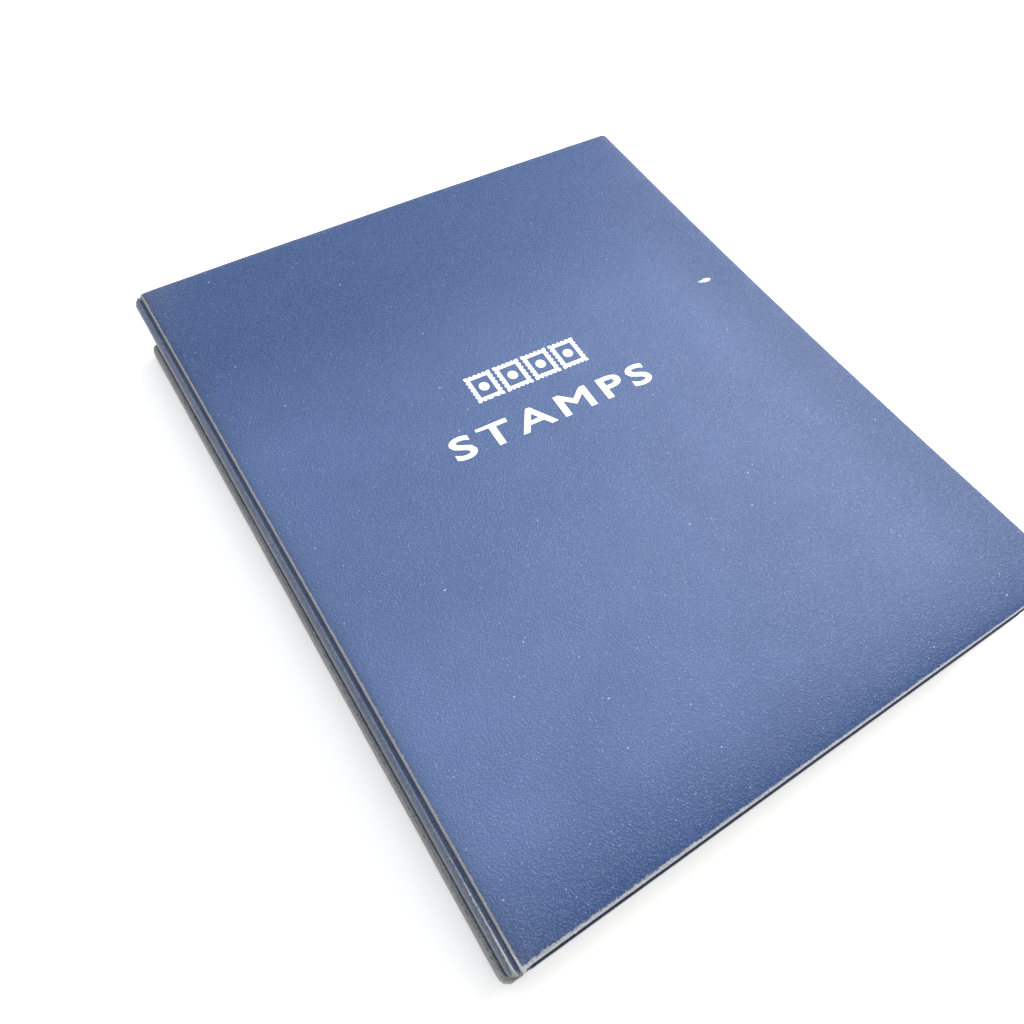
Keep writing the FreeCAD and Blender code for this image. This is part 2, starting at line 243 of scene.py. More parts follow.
def leatherclothMaterial():
    s = leatherclothSettings
    material, place = newMaterial("leathercloth", restPlace=True)
    wear = attributeOf("wear")
    scale, detail = s["grainBend"]
    wander = addNode("TexNoise", {"Vector": place, "Scale": scale, "Detail": detail}).outputs["Color"]
    bent = vectorMaths("MULTIPLY_ADD", wander, s["grainBendReach"], place)
    pebbles = fade(cellsOf(bent, 1 / s["grain"], feature="SMOOTH_F1"), *s["pebbleRange"])
    fine = noiseOf(place, *s["fine"])
    mottle = noiseOf(place, *s["mottle"])
    patches = noiseOf(place, *s["patches"])
    threads = noiseOf(place, *s["threads"])

    lift = weightedSum((pebbles, fine, swing(mottle)), s["liftShares"])
    colour = mixColour(fade(lift, *s["liftRange"]), s["deep"], s["tops"])
    # painted sheen: paler blue over the padded top, broken up by the mottle
    handled = times(attributeOf("handled"), fade(mottle, *s["handledRange"]))
    colour = mixColour(handled, colour, s["handled"])
    rubbing = weightedSum((attributeOf("rub"), swing(patches)), (1, s["patchSwing"]))
    rubbed = times(fade(rubbing, *s["rubRange"]), fade(lift, *s["rubOnTops"]))
    colour = mixColour(rubbed, colour, s["rubbed"])
    frayed = weightedSum((wear, swing(threads)), (1, s["fray"]))
    worn = fade(frayed, *s["wornRange"])
    bare = mixColour(fade(fine, *s["soilRange"]), s["soil"], s["thread"])
    colour = mixColour(worn, colour, bare)
    colour = dotted(colour, place, *s["specks"])
    colour = dotted(colour, bent, *s["glints"])
    colour = scuffed(colour, place, s["scuff"])
    # painted shade: near black, and less reflective, where the wear and shade attribute is below 0
    paintedShade = fade(wear, *s["paintedShadeRange"])
    colour = mixColour(paintedShade, colour, s["paintedShade"])

    roughness = fade(lift, *s["roughness"])
    height = weightedSum((pebbles, fine, times(threads, worn)), s["heightShares"])
    shade({
        "Base Color": colour,
        "Roughness": weightedSum((roughness, worn), (1, s["wornRoughness"])),
        "Normal": bumpFrom(height, s["grainDepth"]),
        "Specular IOR Level": fade(paintedShade, *s["specular"]),
    })
    return material


# aged paper and card: fibres, foxing and a little unevenness

agingSettings = {
    "fibre": (2.4, 5.0, 0.7),  # scale, detail and roughness
    "cloud": (0.018, 3.0, 0.5),
    "foxing": (0.16, 2.0, 0.4),
    "foxingRange": (0.70, 0.80),
    "foxingStrength": 0.25,
    "roughSpread": 0.12,
    "inkStrength": 0.55,
}

paperSettings = {
    "liningPaper": {"light": (0.53, 0.505, 0.44), "aged": (0.49, 0.46, 0.39), "fibre": (0.33, 0.29, 0.22),
                    "fleck": 0.22, "rough": 0.62, "depth": 0.03, "gloss": 0.3},
    "albumLeaf": {"light": (0.50, 0.488, 0.44), "aged": (0.46, 0.44, 0.38), "fibre": (0.34, 0.30, 0.23),
                  "fleck": 0.18, "rough": 0.70, "depth": 0.02, "gloss": 0.2,
                  "line": (0.22, 0.29, 0.31), "spacing": 5.0, "lineWidth": 0.24,
                  "border": ((-72.0, 103.0), (-115.0, 115.0))},
    "endCard": {"light": (0.50, 0.45, 0.37), "aged": (0.43, 0.38, 0.30), "fibre": (0.25, 0.21, 0.16),
                "fleck": 0.4, "rough": 0.75, "depth": 0.05, "gloss": 0.2},
    "greyBoard": {"light": (0.37, 0.35, 0.31), "aged": (0.30, 0.28, 0.25), "fibre": (0.17, 0.15, 0.13),
                  "fleck": 0.6, "rough": 0.8, "depth": 0.08, "gloss": 0.15},
}


def printedGrid(place, colour, paper):
    # quadrille lines, inside a ruled border
    split = addNode("SeparateXYZ", {0: place})
    lines = None
    inside = None
    for axis, (start, end) in zip("XY", paper["border"]):
        across = split.outputs[axis]
        count = maths("DIVIDE", maths("SUBTRACT", across, start), paper["spacing"])
        line = maths("LESS_THAN", maths("FRACT", count), paper["lineWidth"] / paper["spacing"])
        within = times(maths("GREATER_THAN", across, start),
                       maths("LESS_THAN", across, end + paper["lineWidth"]))
        lines = line if lines is None else maths("MAXIMUM", lines, line)
        inside = within if inside is None else times(inside, within)
    ink = times(times(lines, inside), agingSettings["inkStrength"])
    return mixColour(ink, colour, paper["line"])


def paperMaterial(name, paper):
    s = agingSettings
    material, place = newMaterial(name)
    fibre = noiseOf(place, *s["fibre"])
    cloud = noiseOf(place, *s["cloud"])
    foxing = fade(noiseOf(place, *s["foxing"]), *s["foxingRange"])
    colour = mixColour(fade(cloud, 0.3, 0.7), paper["light"], paper["aged"])
    colour = mixColour(times(fibre, paper["fleck"]), colour, paper["fibre"])
    colour = mixColour(times(foxing, s["foxingStrength"]), colour, paper["fibre"])
    if "line" in paper:
        colour = printedGrid(place, colour, paper)
    shade({
        "Base Color": colour,
        "Roughness": fade(fibre, 0.3, 0.7, paper["rough"], paper["rough"] + s["roughSpread"]),
        "Normal": bumpFrom(fibre, paper["depth"]),
        "Specular IOR Level": paper["gloss"],
    })
    return material


# glassine, foam, plated steel and foil

glassineSettings = {
    "clear": (0.84, 0.84, 0.80),
    "aged": (0.74, 0.73, 0.67),
    "cloud": (0.05, 3.0),  # scale and detail
    "crinkle": (0.25, 4.0, 0.65),  # scale, detail and roughness
    "crinkleDepth": 0.15,
    "roughness": (0.3, 0.7, 0.26, 0.42),
}


def glassineMaterial():
    s = glassineSettings
    material, place = newMaterial("glassine")
    crinkle = noiseOf(place, *s["crinkle"])
    shade({
        "Base Color": mixColour(noiseOf(place, *s["cloud"]), s["clear"], s["aged"]),
        "Roughness": fade(crinkle, *s["roughness"]),
        "Normal": bumpFrom(crinkle, s["crinkleDepth"]),
        "Transmission Weight": 0.35,
        "IOR": 1.2,
    })
    return material


foamSettings = {
    "fresh": (0.78, 0.72, 0.52),
    "aged": (0.66, 0.56, 0.35),
    "age": (0.05, 3.0),
    "cells": 2.2,
    "cellDepth": 0.2,
}


def foamMaterial():
    s = foamSettings
    material, place = newMaterial("foam")
    shade({
        "Base Color": mixColour(noiseOf(place, *s["age"]), s["fresh"], s["aged"]),
        "Normal": bumpFrom(cellsOf(place, s["cells"]), s["cellDepth"]),
        "Roughness": 0.9,
    })
    return material


nickelSettings = {
    "bright": (0.74, 0.73, 0.70),
    "dull": (0.52, 0.49, 0.43),
    "drawn": (6.0, 0.12, 6.0),  # stretches the polishing lines along the parts
    "lines": (1.0, 4.0, 0.6),
    "lineDepth": 0.01,
    "tarnish": (0.09, 4.0, 0.6),
    "tarnishRange": (0.45, 0.75),
    "tarnishRough": 0.16,
    "roughness": (0.3, 0.7, 0.16, 0.30),
}


def nickelMaterial():
    s = nickelSettings
    material, place = newMaterial("nickelSteel")
    lines = noiseOf(vectorMaths("MULTIPLY", place, s["drawn"]), *s["lines"])
    tarnish = fade(noiseOf(place, *s["tarnish"]), *s["tarnishRange"])
    roughness = fade(lines, *s["roughness"])
    shade({
        "Base Color": mixColour(tarnish, s["bright"], s["dull"]),
        "Roughness": weightedSum((roughness, tarnish), (1, s["tarnishRough"])),
        "Normal": bumpFrom(lines, s["lineDepth"]),
        "Metallic": 1.0,
    })
    return material


foilLookSettings = {
    "white": (0.80, 0.82, 0.84),
    "gone": (0.20, 0.26, 0.42),  # where the foil is rubbed through
    "goneRange": (0.70, 0.82),
    "goneStrength": 0.7,
    "grain": 1.3,
    "grainShare": 0.25,
    "grainDepth": 0.08,
    "rub": (1.1, 4.0, 0.7),
    "roughness": (0.3, 0.7, 0.34, 0.55),
}


def foilMaterial():
    s = foilLookSettings
    material, place = newMaterial("whiteFoil")
    grain = cellsOf(place, s["grain"], feature="SMOOTH_F1")
    rub = noiseOf(place, *s["rub"])
    gone = fade(weightedSum((rub, grain), (1, s["grainShare"])), *s["goneRange"])
    shade({
        "Base Color": mixColour(times(gone, s["goneStrength"]), s["white"], s["gone"]),
        "Roughness": fade(rub, *s["roughness"]),
        "Normal": bumpFrom(grain, s["grainDepth"]),
    })
    return material


leathercloth = leatherclothMaterial()
papers = {name: paperMaterial(name, paper) for name, paper in paperSettings.items()}
glassine = glassineMaterial()
foam = foamMaterial()
nickel = nickelMaterial()
whiteFoil = foilMaterial()
print("materials made")


# mesh helpers, all in millimetres

def makeObject(name, points, faces, material, smooth=True):
    mesh = bpy.data.meshes.new(name)
    mesh.from_pydata([tuple(c * mm for c in point) for point in points], [], faces)
    mesh.materials.append(material)
    piece = bpy.data.objects.new(name, mesh)
    scene.collection.objects.link(piece)
    mesh.update()
    mesh.validate()
    if smooth:
        mesh.polygons.foreach_set("use_smooth", [True] * len(mesh.polygons))
    return piece


def paint(piece, **paints):
    # values from each vertex's place; the rest place keeps the grain still as the cloth bends
    vertices = piece.data.vertices
    for name, valueOf in paints.items():
        values = [valueOf(vertex.co / mm) for vertex in vertices]
        piece.data.attributes.new(name, "FLOAT", "POINT").data.foreach_set("value", values)
    flat = [c for vertex in vertices for c in vertex.co]
    piece.data.attributes.new("restPlace", "FLOAT_VECTOR", "POINT").data.foreach_set("vector", flat)


def thickenCloth(piece, thickness):
    solid = piece.modifiers.new("thickness", "SOLIDIFY")
    solid.thickness = thickness * mm
    solid.offset = -1
    bpy.context.view_layer.update()
    graph = bpy.context.evaluated_depsgraph_get()
    mesh = bpy.data.meshes.new_from_object(piece.evaluated_get(graph))
    piece.modifiers.clear()
    old = piece.data
    piece.data = mesh
    bpy.data.meshes.remove(old)


def softenCorners(piece, angle):
    piece.data.set_sharp_from_angle(angle=math.radians(angle))


def finishPiece(piece, body, slotName, *replaced):
    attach(piece, body)
    if replaced:
        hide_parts(*replaced)


def roundedRing(left, right, halfY, inset, corner, cornerSteps, steps, spineCorner=None):
    # points round a rounded rectangle, the same number for every inset
    middleX = (left + right) / 2
    halfX = (right - left) / 2 - inset
    halfY = halfY - inset
    radii = [corner, corner if spineCorner is None else spineCorner]
    radii = [min(radius + 0.35 * inset, 0.8 * halfX, 0.8 * halfY) for radius in radii]

    def onCorner(turn, share):
        signX, signY = ((1, 1), (-1, 1), (-1, -1), (1, -1))[turn % 4]
        radius = radii[0 if signX > 0 else 1]
        angle = math.radians(90 * (turn + share))
        return (middleX + signX * (halfX - radius) + radius * math.cos(angle),
                signY * (halfY - radius) + radius * math.sin(angle))

    ring = []
    for turn in range(4):
        ring += [onCorner(turn, step / cornerSteps) for step in range(cornerSteps + 1)]
        start = ring[-1]
        end = onCorner(turn + 1, 0)
        sideSteps = steps[turn % 2]
        for step in range(1, sideSteps):
            share = step / sideSteps
            ring.append((start[0] + (end[0] - start[0]) * share, start[1] + (end[1] - start[1]) * share))
    return ring


def ringSurface(rings, firstFace=True, lastFace=True):
    # quads between rings of equal length, with a face over either end
    points = [point for ring in rings for point in ring]
    count = len(rings[0])
    faces = []
    for level in range(len(rings) - 1):
        for k in range(count):
            after = (k + 1) % count
            faces.append((level * count + k, level * count + after,
                          (level + 1) * count + after, (level + 1) * count + k))
    if lastFace:
        faces.append(tuple(range((len(rings) - 1) * count, len(rings) * count)))
    if firstFace:
        faces.append(tuple(reversed(range(count))))
    return points, faces


def sheetFaces(lines, width, turned=False):
    # quads between lines of points across an open sheet
    faces = []
    for line in range(lines - 1):
        for k in range(width - 1):
            a = line * width + k
            corners = (a, a + width, a + width + 1, a + 1)
            faces.append((a, *corners[:0:-1]) if turned else corners)
    return faces


def slab(name, outline, corner, profile, material, steps, cornerSteps, bend=None, lastFace=True):
    # plate with rounded corners, from its left, right and half height, and (inset, level) pairs
    rings = []
    for inset, level in profile:
        ring = roundedRing(*outline, inset, corner, cornerSteps, steps)
        rings.append([(x, y, level + (bend(x, y) if bend else 0)) for x, y in ring])
    points, faces = ringSurface(rings, lastFace=lastFace)
    return makeObject(name, points, faces, material)


liningSettings = {
    "margin": 3.0,
    "corner": 0.6,
    "thickness": 0.28,
    "steps": ((15.5, 1), (13.6, 0.5), (11.8, 0)),  # inset, and share of the sink to the board
    "topRim": (0.1, 0.05),
}


def makeLining(name, nodeName, body, box, low, piece, *rest, **more):
    # paper that steps in to the board, inside the turned-in cloth
    s = liningSettings
    high = low + s["thickness"]
    flats, edge, (rimInset, rimLift), sink = piece["lining"]
    steps = [(inset, 1) for inset in flats] + list(s["steps"]) + [(edge, 0)]
    topInset, topDrop = s["topRim"]
    profile = [(inset, low + sink * share) for inset, share in steps]
    profile += [(rimInset, low), (0, low + rimLift), (0, high - topDrop), (topInset, high)]
    profile += [(inset, high + sink * share) for inset, share in reversed(steps)]
    left, right, half = box
    outline = (left + s["margin"], right - s["margin"], half - s["margin"])
    lining = slab(name, outline, s["corner"], profile, papers["liningPaper"], *rest, **more)
    softenCorners(lining, 50)
    finishPiece(lining, body, "lining_paper", nodeName)


def rectangle(left, right, low, high):
    return [(left, low), (right, low), (right, high), (left, high)]


def circle(x, y, radius, count):
    turns = [math.tau * k / count for k in range(count)]
    return [(x + radius * math.cos(turn), y + radius * math.sin(turn)) for turn in turns]


def flatShape(loops):
    # triangles inside the first loop, outside the others
    bm = bmesh.new()
    for loop in loops:
        corners = [bm.verts.new((x, y, 0)) for x, y in loop]
        for first, second in zip(corners, corners[1:] + corners[:1]):
            bm.edges.new((first, second))
    bmesh.ops.triangle_fill(bm, use_beauty=True, edges=bm.edges[:], normal=(0, 0, 1))
    return bm


def turnUp(bm):
    bmesh.ops.recalc_face_normals(bm, faces=bm.faces[:])
    bmesh.ops.reverse_faces(bm, faces=[face for face in bm.faces if face.normal.z < 0])


# front cover

frontSettings = {
    "cloth": 0.5,
    "corner": 3.4,
    "spineCorner": 0.5,
    "steps": (100, 120),
    "side": ((15.0, 0), (14.7, 0), (8, 0), (2.5, 0), (0.9, 0.03), (0.3, 0.2), (0.05, 0.6), (0, 1.2),
             (0, 1.8), (0, 2.2), (0, 2.5), (0, 2.8)),  # inset and rise, from the turned-in end
    "topInsets": (0.05, 0.14, 0.28, 0.48, 0.75, 1.1, 1.6, 2.2, 3.0, 4.0, 5.5, 7.5, 10, 13, 17, 22, 28, 36,
                  46, 58, 72, 86, 98, 108, 114),
    "plateau": 34.95,  # level of the padded top, clear of its edges
    "crown": 0.45,  # extra height in the middle
    "edgeFall": ((0.55, 0.35), (1.05, 1.9), (0.75, 9.0)),  # depth and reach of each part of the round
    "tailFall": (1.25, 11.0, 0.8),  # the padding rolls down further at the tail
    "foreSag": 2.6,  # the free edge's middle hangs lower than its corners
    "headLift": 0.7,
    "dents": ((0.10, 31, 4.1), (0.035, 9, 9.7)),  # height, size and seed
    "overBoard": (0.3, 0.04),  # least height over the board, before and after the dents
    "jitter": 0.045,  # how far worn threads stand out
    "jitterFrom": 0.3,
    "foamGap": 0.12,
    "foamRim": (80, 30, 6, 0.1),
    "boardGap": (0.1, 0.02),
    "boardCorner": 3.0,
    "boardInsets": (110, 60, 20, 0.3),
    "boardArris": 0.3,
    "lining": ((105, 60, 30), 4, (0.15, 0.1), 0.35),  # flat insets, edge, lower rim, sink
}

frontWearAndPaintedLightSettings = {
    "arrisRise": 2.55,  # level of the edge that wears, over the cover's underside
    "arrisReach": 0.35,
    "tail": (0.98, 0.75, 1.25),  # strength, full width and fade
    "tailNarrows": (0.62, 235),  # share of the fade lost over this run
    "edges": ((1.02, 0.3, 0.5), (0.55, 0, 0.6), (0.62, 0, 0.8)),  # the same: spine, fore-edge, head
    "corner": (0.9, 3.0, 0.4),  # strength, fade and least share down the side
    # painted shade, given below the worn edge and along the tail's outermost rim
    "paintedShade": -0.85,
    "sidePaintedShade": (0.3, 0.35),  # start and fade of the painted shade below the worn edge
    "sideReach": (0.9, 2.0),  # within this of an edge, beyond this from a corner
    "rimPaintedShade": (0.62, 0.14),  # painted shade on the outermost rim of the tail, and its fade
    "rimEnds": 1.2,
    "rub": ((0.34, 16), (0.20, 10), (0.22, 14), (0.16, 6)),  # spine, fore-edge, head, tail
    # painted sheen over the padded top, and where it goes
    "handled": 0.36,
    "handledHead": (92, 50),  # where it starts to go, and over how far
    "handledTail": (-140, 26),
    "handledFore": (108, 24),
    "handledSpine": (0.12, -70, 30),
    "handledLower": (0.14, (-30, 40), (20, 40)),
}


def edgeReach(x, y):
    # distance to each edge of the front cover: spine, fore-edge, head, tail
    return x - frontLow.x, frontHigh.x - x, headY - y, headY + y


def warp(x, y):
    # how far the cover stands from flat
    s = frontSettings
    across = rising(x, frontLow.x, frontHigh.x - frontLow.x)
    along = y / headY
    sag = s["foreSag"] * across ** 2.2 * (1 - min(along * along, 1))
    middle = 1 - (2 * across - 1) ** 2
    lift = s["headLift"] * middle * clamp(along) ** 3
    return lift - sag


def coverTop(x, y):
    # outer surface of the padded front, before the dents and the warp
    s = frontSettings
    fall = 0
    for reach in edgeReach(x, y):
        fall += sum(depth * math.exp(-max(reach, 0) / run) for depth, run in s["edgeFall"]) ** 3
    across = (2 * x - frontLow.x - frontHigh.x) / (frontHigh.x - frontLow.x)
    crown = s["crown"] * (1 - across ** 2) * (1 - (y / headY) ** 2)
    toTail = max(headY + y, 0)
    depth, run, start = s["tailFall"]
    tail = depth * math.exp(-toTail / run) * min(toTail / start, 1)
    return max(s["plateau"] + crown - fall ** (1 / 3) - tail, frontBoardHigh.z + s["overBoard"][0])


def dents(x, y):
    # slight unevenness of old padding
    return sum(height * noise.noise(Vector((x / size, y / size, seed)))
               for height, size, seed in frontSettings["dents"])


def frontRings(profile, raised=0.0, inward=0.0):
    # profile: (inset, level) pairs up the side, then the top at the listed insets
    s = frontSettings

    def ringAt(inset):
        return roundedRing(frontLow.x + inward, frontHigh.x - inward, headY - inward, inset,
                           s["corner"] - inward, 6, s["steps"], s["spineCorner"])

    rings = [[(x, y, level + warp(x, y)) for x, y in ringAt(inset)] for inset, level in profile]
    least = frontBoardHigh.z + s["overBoard"][1]
    for inset in s["topInsets"]:
        if inset >= inward:
            rings.append([(x, y, max(coverTop(x, y) + dents(x, y) + raised, least) + warp(x, y))
                          for x, y in ringAt(inset)])
    return rings


def frontWearAndShade(spot):
    # above 0 where threads show, below 0 where shade is painted
    s = frontWearAndPaintedLightSettings
    x, y, z = spot
    toSpine, toFore, toHead, toTail = edgeReach(x, y)
    below = frontLow.z + s["arrisRise"] - (z - warp(x, y))
    arris = clamp(1 - below / s["arrisReach"])
    strength, width, fall = s["tail"]
    narrowing, run = s["tailNarrows"]
    fall *= 1 - narrowing * clamp(toSpine / run)
    wear = strength * hump(max(toTail - width, 0), fall)
    for reach, (strength, width, fall) in zip((toSpine, toFore, toHead), s["edges"]):
        wear = max(wear, strength * hump(reach - width, fall))
    strength, fall, least = s["corner"]
    cornerReach = min(toSpine, toFore) + min(toHead, toTail)
    wear = max(wear * arris, strength * hump(cornerReach, fall) * max(arris, least))

    # painted shade down the sides below the worn edge, and along the tail's outermost rim
    start, run = s["sidePaintedShade"]
    edge, corner = s["sideReach"]
    if below > start and min(toFore, toHead, toTail) < edge and cornerReach > corner:
        wear = s["paintedShade"] * min((below - start) / run, 1)
    start, run = s["rimPaintedShade"]
    if toTail < start and min(toSpine, toFore) > s["rimEnds"]:
        wear = s["paintedShade"] * min((start - toTail) / run, 1)
    return wear


def frontPaintedSheen(spot):
    # painted sheen: the padded top is painted paler where it catches the light, less towards the head and the
    # tail's roll
    s = frontWearAndPaintedLightSettings
    x, y, z = spot
    away = falling(y, *s["handledHead"]) * rising(y, *s["handledTail"]) * falling(x, *s["handledFore"])
    spineSide, start, run = s["handledSpine"]
    lower, alongY, alongX = s["handledLower"]
    return away * (s["handled"] + spineSide * falling(x, start, run)
                   + lower * falling(y, *alongY) * falling(x, *alongX))


def frontRub(spot):
    reaches = edgeReach(spot.x, spot.y)
    return min(sum(strength * math.exp(-reach / run)
                   for reach, (strength, run) in zip(reaches, frontWearAndPaintedLightSettings["rub"])), 1)


def makeFrontSkin():
    s = frontSettings
    side = [(inset, frontLow.z + rise) for inset, rise in s["side"]]
    points, faces = ringSurface(frontRings(side), firstFace=False)
    skin = makeObject("frontCoverSkin", points, faces, leathercloth)
    rng = random.Random(5)
    for vertex in skin.data.vertices:
        wear = frontWearAndShade(vertex.co / mm)
        if wear > s["jitterFrom"]:
            jitter = s["jitter"] * wear
            vertex.co += Vector([rng.uniform(-jitter, jitter) * mm for axis in range(3)])
    thickenCloth(skin, s["cloth"])
    paint(skin, wear=frontWearAndShade, rub=frontRub, handled=frontPaintedSheen)
    finishPiece(skin, "front_cover", "leathercloth", "front_cover_cloth")


def makeFrontPadding():
    s = frontSettings
    rim = [(inset, frontBoardHigh.z) for inset in s["foamRim"]]
    rings = frontRings(rim, raised=-s["cloth"] - s["foamGap"], inward=s["cloth"] + 0.05)
    points, faces = ringSurface(rings)
    padding = makeObject("frontPadding", points, faces, foam)
    finishPiece(padding, "front_cover", "foam", "front_padding")


def makeFrontInside():
    s = frontSettings
    steps = [count // 3 for count in s["steps"]]
    gap, topGap = s["boardGap"]
    low, high = frontBoardLow.z, frontBoardHigh.z - topGap
    profile = [(inset, low) for inset in s["boardInsets"]]
    profile += [(0, low + s["boardArris"]), (0, high - s["boardArris"])]
    profile += [(inset, high) for inset in reversed(s["boardInsets"])]
    outline = (frontBoardLow.x + gap, frontBoardHigh.x - gap, frontBoardHigh.y - gap)
    board = slab("frontBoardWarped", outline, s["boardCorner"], profile, papers["greyBoard"], steps, 4,
                 bend=warp)
    finishPiece(board, "front_cover", "greyboard", "front_board")

    makeLining("frontLiningPaper", "front_lining", "front_cover", (frontLow.x, frontHigh.x, headY),
               boxOf("front_lining")[0].z, s, steps, 4, bend=warp)


makeFrontSkin()
makeFrontPadding()
makeFrontInside()
print("front cover made")


# back cover

backSettings = {
    "cloth": 0.48,
    "corner": 3.2,
    "steps": (90, 110),
    "profile": ((112, 0), (90, 0), (60, 0), (30, 0), (10, 0), (3, 0), (1.4, 0.05), (0.6, 0.2), (0.15, 0.55),
                (0, 1.1), (0, 1.8), (0, 2.5), (0.12, 3.0), (0.5, 3.3), (1.2, 3.4), (5, 3.4), (10, 3.4),
                (14.7, 3.4), (15.0, 3.4)),
    "wear": ((0.72, 0.9), (0.45, 0.8), (0.95, 4)),  # strength and fade: edges, spine, corners
    "undersideRub": (0.30, 0.35, 12),
    "sideRub": 0.2,
    "undersideTop": 0.6,
    "liningLow": 3.41,
    "lining": ((100, 50), 3, (0.1, 0.08), -0.38),  # flat insets, edge, lower rim, sink
}


def backReach(spot):
    # distance to the nearest worn edge
    return min(backHigh.x - spot.x, backHigh.y - abs(spot.y))


def backWear(spot):
    cornerReach = max(backHigh.x - spot.x, 0) + max(backHigh.y - abs(spot.y), 0)
    reaches = (backReach(spot), spot.x - backLow.x, cornerReach)
    return max(strength * hump(reach, fall)
               for reach, (strength, fall) in zip(reaches, backSettings["wear"]))


def backRub(spot):
    s = backSettings
    if spot.z >= s["undersideTop"]:
        return s["sideRub"]
    least, more, run = s["undersideRub"]
    return least + more * math.exp(-max(backReach(spot), 0) / run)


def makeBackCover():
    s = backSettings
    box = (backLow.x, backHigh.x, backHigh.y)
    skin = slab("backCoverSkin", box, s["corner"], s["profile"], leathercloth, s["steps"], 6, lastFace=False)
    thickenCloth(skin, s["cloth"])
    paint(skin, wear=backWear, rub=backRub)
    finishPiece(skin, "back_cover", "leathercloth", "back_cover_cloth")
    steps = [count // 3 for count in s["steps"]]
    makeLining("backLiningPaper", "back_lining", "back_cover", box, s["liningLow"], s, steps, 6)


makeBackCover()
print("back cover made")


# spine strip: upper joint, lower joint, spine face, and the board and lining behind it

spineSettings = {
    "cloth": 0.47,
    "jointCloth": 0.6,
    "upper": ((-114.3, 32.1), (-114.5, 31.65), (-114.75, 31.3), (-115.05, 31.15), (-115.4, 31.35),
              (-115.7, 31.8), (-116.05, 32.1), (-116.5, 31.95), (-116.95, 31.5), (-117.35, 30.9),
              (-117.58, 30.2), (-117.7, 29.4), (-117.7, 28.5)),
    "upperEnd": (2.6, 0.10, 2.0),  # how far the ends round off, unevenness, seed
    "lower": ((-117.7, 6.5), (-117.72, 6.1), (-117.95, 5.75), (-118.4, 5.7), (-118.9, 5.75), (-119.5, 5.5),
              (-120.05, 5.0), (-120.42, 4.2), (-120.58, 3.2), (-120.55, 2.2), (-120.25, 1.3), (-119.7, 0.7),
              (-118.9, 0.38), (-117.8, 0.3), (-116.4, 0.3), (-115.0, 0.32), (-113.6, 0.4), (-112.4, 0.6),
              (-111.6, 0.85), (-111.25, 1.0)),
    "lowerEnd": (4.2, 0.16, 11.0),
    "lowerWearAndShade": ((0.92, -120.1, 1.5, 4.2, 2.6), (0.68, -118.8, 0.35, 5.7, 0.4),
                  (-0.5, -117.8, 0.35, 5.9, 0.5)),  # strength, then place and fade in x and z; a strength below 0 paints shade
    "lean": 2.2,  # how far the strip leans in towards its foot
    "leanFrom": 28.5,
    "leanInner": (-111.6, 4),  # no lean inside of here, full lean this far out
    "lengthSteps": 150,
    "crowding": 0.35,  # how much the cross-sections crowd towards the ends
    "endPull": 2.6,
    "endOuter": -114,  # only the part outside of here is pulled in
    "endSlack": 0.6,
    "endClose": 0.35,
    "waves": ((1, 14, 0.35, 0), (0.4, 3.2, 0.9, 7)),  # share, length, step round, seed
    "waveAcross": 0.6,
    "waveInner": (-112, 0.4),  # inside of here the wave is less
    "faceTurn": ((1.2, 0), (0.6, 0.12), (0.22, 0.5), (0.04, 1.2), (0, 2.4)),
    "faceSteps": (90, 16),
    "faceBelly": 0.18,
    "faceWave": (0.09, 17, 7, 3.3),
    "boardSteps": 40,
    "boardSoft": (0.35, 0.6),
}


def leanedIn(x, z):
    s = spineSettings
    share = falling(z, s["leanFrom"], s["leanFrom"] - spineLow.z)
    return x + s["lean"] * share * falling(x, *s["leanInner"])


def jointCloth(name, nodeName, profile, endRound, unevenness, seed):
    # a strip along the spine with one outline, rounded off in plan at head and tail
    s = spineSettings
    shares = [2 * k / s["lengthSteps"] - 1 for k in range(s["lengthSteps"] + 1)]
    crowding = s["crowding"]
    centreX = sum(x for x, z in profile) / len(profile)
    centreZ = sum(z for x, z in profile) / len(profile)
    innerFrom, innerWave = s["waveInner"]
    points = []
    for share in shares:
        y = headY * (crowding * math.sin(math.pi / 2 * share) + (1 - crowding) * share)
        past = max(abs(y) - (headY - endRound), 0) / endRound
        shrink = 1 - math.sqrt(max(1 - past * past, 0))
        for turn, (x, z) in enumerate(profile):
            wave = sum(part * unevenness * noise.noise(Vector((y / length, turn * step, seed + more)))
                       for part, length, step, more in s["waves"])
            inX = x + (min(endRound, s["endPull"]) * shrink if x < s["endOuter"] else 0)
            inX = min(inX, max(x, centreX + s["endSlack"]))
            inX -= wave * (innerWave if x > innerFrom else 1) * s["waveAcross"]
            inZ = z + (centreZ - z) * s["endClose"] * shrink
            points.append((leanedIn(inX, inZ), y, inZ + wave))
    strip = makeObject(name, points, sheetFaces(len(shares), len(profile)), leathercloth)
    thickenCloth(strip, s["jointCloth"])
    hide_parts(nodeName)
    return strip


def endWear(y, reach):
    return hump(headY - abs(y), reach)


def upperWearAndShade(spot):
    # a rubbed ridge, with painted shade in the groove inside of it and on the flank outside
    ridge = 0.46 + 0.3 * hump(spot.y + headY, 60)
    wear = ridge * hump(spot.x + 116.15, 0.34) * hump(spot.z - 32.0, 0.4)
    wear += 0.3 * hump(spot.y + headY, 26)
    wear -= 0.42 * hump(spot.x + 115.1, 0.5)
    wear -= 0.32 * falling(spot.x, -116.45, 0.3) * rising(spot.z, 28.6, 1.5)
    return max(wear, 0.8 * endWear(spot.y, 2.5))


def lowerWearAndShade(spot):
    # the roll's outside and the line along its top, with painted shade in the crease between it and the spine
    across = spot.x - spineSettings["lean"]
    wear = sum(strength * hump(across - x, fadeX) * hump(spot.z - z, fadeZ)
               for strength, x, fadeX, z, fadeZ in spineSettings["lowerWearAndShade"])
    return max(wear, 0.75 * endWear(spot.y, 3.0))


def faceWear(spot):
    edge = min(spineHigh.z - spot.z, spot.z - spineLow.z)
    return max(0.42 * hump(edge, 0.7), 0.85 * endWear(spot.y, 2.2))


